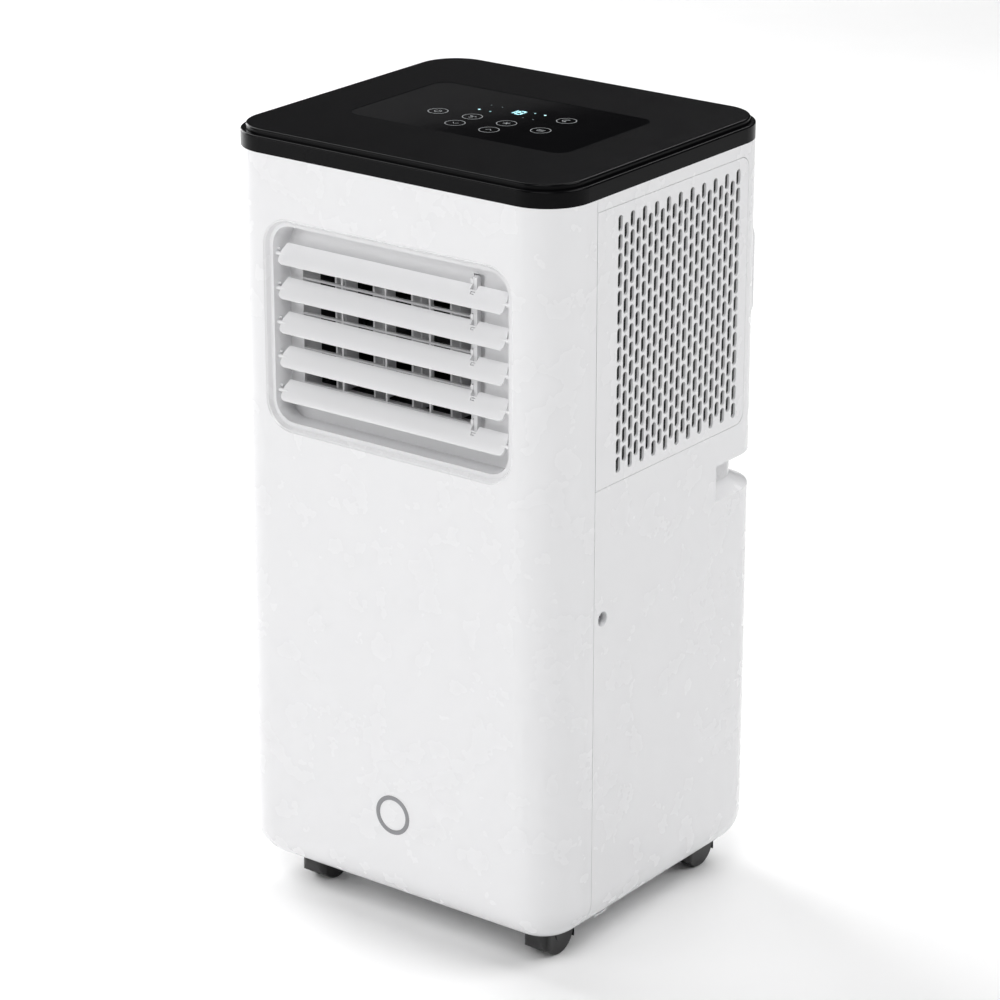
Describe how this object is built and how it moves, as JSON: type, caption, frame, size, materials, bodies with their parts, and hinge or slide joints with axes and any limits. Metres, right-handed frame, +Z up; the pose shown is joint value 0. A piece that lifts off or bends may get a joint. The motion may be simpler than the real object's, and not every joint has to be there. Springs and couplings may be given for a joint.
{
  "type": "portable air conditioner",
  "caption": "Upright box-shaped room air conditioner on swivel casters, with a louvred front outlet, a slotted side intake, a rear exhaust outlet and a touch panel on top.",
  "frame": {"origin": "middle of the footprint on the floor, exhaust outlet included", "axes": "+Z up, -Y out of the front air outlet, +X out of the slotted side grille"},
  "size_m": [0.3, 0.2963, 0.598],
  "materials": {
    "white_casing": "satin white moulded shell",
    "white_trim": "plain white moulding",
    "louvre_white": "smooth white blade",
    "grey_plastic": "light grey moulding",
    "black_gloss": "polished black",
    "control_glass": "dark tinted touch glass",
    "dark_plastic": "dark moulding",
    "circuit_board": "green solder mask",
    "caster_black": "black nylon",
    "steel": "zinc-plated steel",
    "badge_metal": "satin grey metal",
    "painted_steel": "black painted steel",
    "rubber": "soft black rubber",
    "fin_aluminium": "thin aluminium fins",
    "copper": "bare copper tube"
  },
  "bodies": {
    "machine": {"accumulator": "painted_steel", "badge": "badge_metal", "base_tray": "white_trim", "casing_screws": "steel", "compressor": "painted_steel", "compressor_feet": "rubber", "condenser_coil": "fin_aluminium", "condenser_fan_housing": "dark_plastic", "condenser_fan_motor": "painted_steel", "control_board": "circuit_board", "control_glass": "control_glass", "cord_gland": "white_trim", "display_module": "dark_plastic", "drain_pan": "white_trim", "drain_spout": "white_casing", "electric_box": "dark_plastic", "evaporator_coil": "fin_aluminium", "evaporator_fan_housing": "dark_plastic", "evaporator_fan_motor": "painted_steel", "exhaust_duct": "dark_plastic", "exhaust_flange": "white_casing", "exhaust_guard": "white_trim", "front_panel": "white_casing", "outlet_frame": "white_trim", "outlet_guard": "grey_plastic", "rear_casing": "white_casing", "rear_grille": "white_casing", "refrigerant_pipes": "copper", "run_capacitor": "fin_aluminium", "top_cover": "black_gloss", "top_rim": "black_gloss"},
    "louvre_1": {"louvre_1": "louvre_white"},
    "louvre_2": {"louvre_2": "louvre_white"},
    "louvre_3": {"louvre_3": "louvre_white"},
    "louvre_4": {"louvre_4": "louvre_white"},
    "louvre_5": {"louvre_5": "louvre_white"},
    "louvre_link": {"louvre_link": "white_trim"},
    "vane_1": {"vane_1": "grey_plastic"},
    "vane_2": {"vane_2": "grey_plastic"},
    "vane_3": {"vane_3": "grey_plastic"},
    "vane_4": {"vane_4": "grey_plastic"},
    "vane_link": {"vane_link": "white_trim"},
    "side_grille": {"side_grille": "white_casing", "side_filter": "grey_plastic"},
    "evaporator_fan": {"evaporator_fan_wheel": "dark_plastic"},
    "condenser_fan": {"condenser_fan_wheel": "dark_plastic"},
    "drain_plug": {"drain_plug": "rubber"},
    "caster_front_left_swivel": {"caster_front_left_hood": "caster_black", "caster_front_left_pins": "steel"},
    "caster_front_left_wheels": {"caster_front_left_wheels": "caster_black"},
    "caster_front_right_swivel": {"caster_front_right_hood": "caster_black", "caster_front_right_pins": "steel"},
    "caster_front_right_wheels": {"caster_front_right_wheels": "caster_black"},
    "caster_rear_left_swivel": {"caster_rear_left_hood": "caster_black", "caster_rear_left_pins": "steel"},
    "caster_rear_left_wheels": {"caster_rear_left_wheels": "caster_black"},
    "caster_rear_right_swivel": {"caster_rear_right_hood": "caster_black", "caster_rear_right_pins": "steel"},
    "caster_rear_right_wheels": {"caster_rear_right_wheels": "caster_black"}
  },
  "joints": [
    {"name": "louvre_1_pivot", "type": "hinge", "parent": "machine", "child": "louvre_1", "pos_m": [0, -0.1405, 0.5075], "axis": [1, 0, 0], "range_deg": [-45, 22]},
    {"name": "louvre_2_pivot", "type": "hinge", "parent": "machine", "child": "louvre_2", "pos_m": [0, -0.1405, 0.4816], "axis": [1, 0, 0], "range_deg": [-45, 22]},
    {"name": "louvre_3_pivot", "type": "hinge", "parent": "machine", "child": "louvre_3", "pos_m": [0, -0.1405, 0.4557], "axis": [1, 0, 0], "range_deg": [-45, 22]},
    {"name": "louvre_4_pivot", "type": "hinge", "parent": "machine", "child": "louvre_4", "pos_m": [0, -0.1405, 0.4298], "axis": [1, 0, 0], "range_deg": [-45, 22]},
    {"name": "louvre_5_pivot", "type": "hinge", "parent": "machine", "child": "louvre_5", "pos_m": [0, -0.1405, 0.4039], "axis": [1, 0, 0], "range_deg": [-45, 22]},
    {"name": "louvre_link_clip", "type": "hinge", "parent": "louvre_1", "child": "louvre_link", "pos_m": [0.0696, -0.13239, 0.51127], "axis": [1, 0, 0], "range_deg": [-22, 45]},
    {"name": "vane_1_pivot", "type": "hinge", "parent": "machine", "child": "vane_1", "pos_m": [-0.064, -0.1145, 0.46], "axis": [0, 0, 1], "range_deg": [-30, 30]},
    {"name": "vane_2_pivot", "type": "hinge", "parent": "machine", "child": "vane_2", "pos_m": [-0.0292, -0.1145, 0.46], "axis": [0, 0, 1], "range_deg": [-30, 30]},
    {"name": "vane_3_pivot", "type": "hinge", "parent": "machine", "child": "vane_3", "pos_m": [0.0056, -0.1145, 0.46], "axis": [0, 0, 1], "range_deg": [-30, 30]},
    {"name": "vane_4_pivot", "type": "hinge", "parent": "machine", "child": "vane_4", "pos_m": [0.0404, -0.1145, 0.46], "axis": [0, 0, 1], "range_deg": [-30, 30]},
    {"name": "vane_link_pin", "type": "hinge", "parent": "vane_1", "child": "vane_link", "pos_m": [-0.064, -0.1035, 0.506], "axis": [0, 0, 1], "range_deg": [-30, 30]},
    {"name": "side_grille_pull", "type": "slide", "parent": "machine", "child": "side_grille", "axis": [1, 0, 0], "range_m": [0, 0.04]},
    {"name": "evaporator_fan_spin", "type": "hinge", "parent": "machine", "child": "evaporator_fan", "pos_m": [-0.014, -0.015, 0.46], "axis": [1, 0, 0], "continuous": true},
    {"name": "condenser_fan_spin", "type": "hinge", "parent": "machine", "child": "condenser_fan", "pos_m": [-0.045, 0.059, 0.19], "axis": [0, 1, 0], "continuous": true},
    {"name": "drain_plug_pull", "type": "slide", "parent": "machine", "child": "drain_plug", "axis": [0, 1, 0], "range_m": [0, 0.02]},
    {"name": "caster_front_left_turn", "type": "hinge", "parent": "machine", "child": "caster_front_left_swivel", "pos_m": [-0.0983, -0.1055, 0.045], "axis": [0, 0, 1], "continuous": true},
    {"name": "caster_front_left_roll", "type": "hinge", "parent": "caster_front_left_swivel", "child": "caster_front_left_wheels", "pos_m": [-0.0983, -0.1035, 0.017], "axis": [1, 0, 0], "continuous": true},
    {"name": "caster_front_right_turn", "type": "hinge", "parent": "machine", "child": "caster_front_right_swivel", "pos_m": [0.1135, -0.1055, 0.045], "axis": [0, 0, 1], "continuous": true},
    {"name": "caster_front_right_roll", "type": "hinge", "parent": "caster_front_right_swivel", "child": "caster_front_right_wheels", "pos_m": [0.1135, -0.1035, 0.017], "axis": [1, 0, 0], "continuous": true},
    {"name": "caster_rear_left_turn", "type": "hinge", "parent": "machine", "child": "caster_rear_left_swivel", "pos_m": [-0.0983, 0.079, 0.045], "axis": [0, 0, 1], "continuous": true},
    {"name": "caster_rear_left_roll", "type": "hinge", "parent": "caster_rear_left_swivel", "child": "caster_rear_left_wheels", "pos_m": [-0.0983, 0.081, 0.017], "axis": [1, 0, 0], "continuous": true},
    {"name": "caster_rear_right_turn", "type": "hinge", "parent": "machine", "child": "caster_rear_right_swivel", "pos_m": [0.1135, 0.079, 0.045], "axis": [0, 0, 1], "continuous": true},
    {"name": "caster_rear_right_roll", "type": "hinge", "parent": "caster_rear_right_swivel", "child": "caster_rear_right_wheels", "pos_m": [0.1135, 0.081, 0.017], "axis": [1, 0, 0], "continuous": true}
  ],
  "couplings": [
    {"joint": "louvre_2_pivot", "follows": "louvre_1_pivot", "ratio": 1},
    {"joint": "louvre_3_pivot", "follows": "louvre_1_pivot", "ratio": 1},
    {"joint": "louvre_4_pivot", "follows": "louvre_1_pivot", "ratio": 1},
    {"joint": "louvre_5_pivot", "follows": "louvre_1_pivot", "ratio": 1},
    {"joint": "louvre_link_clip", "follows": "louvre_1_pivot", "ratio": -1},
    {"joint": "vane_2_pivot", "follows": "vane_1_pivot", "ratio": 1},
    {"joint": "vane_3_pivot", "follows": "vane_1_pivot", "ratio": 1},
    {"joint": "vane_4_pivot", "follows": "vane_1_pivot", "ratio": 1},
    {"joint": "vane_link_pin", "follows": "vane_1_pivot", "ratio": -1}
  ]
}
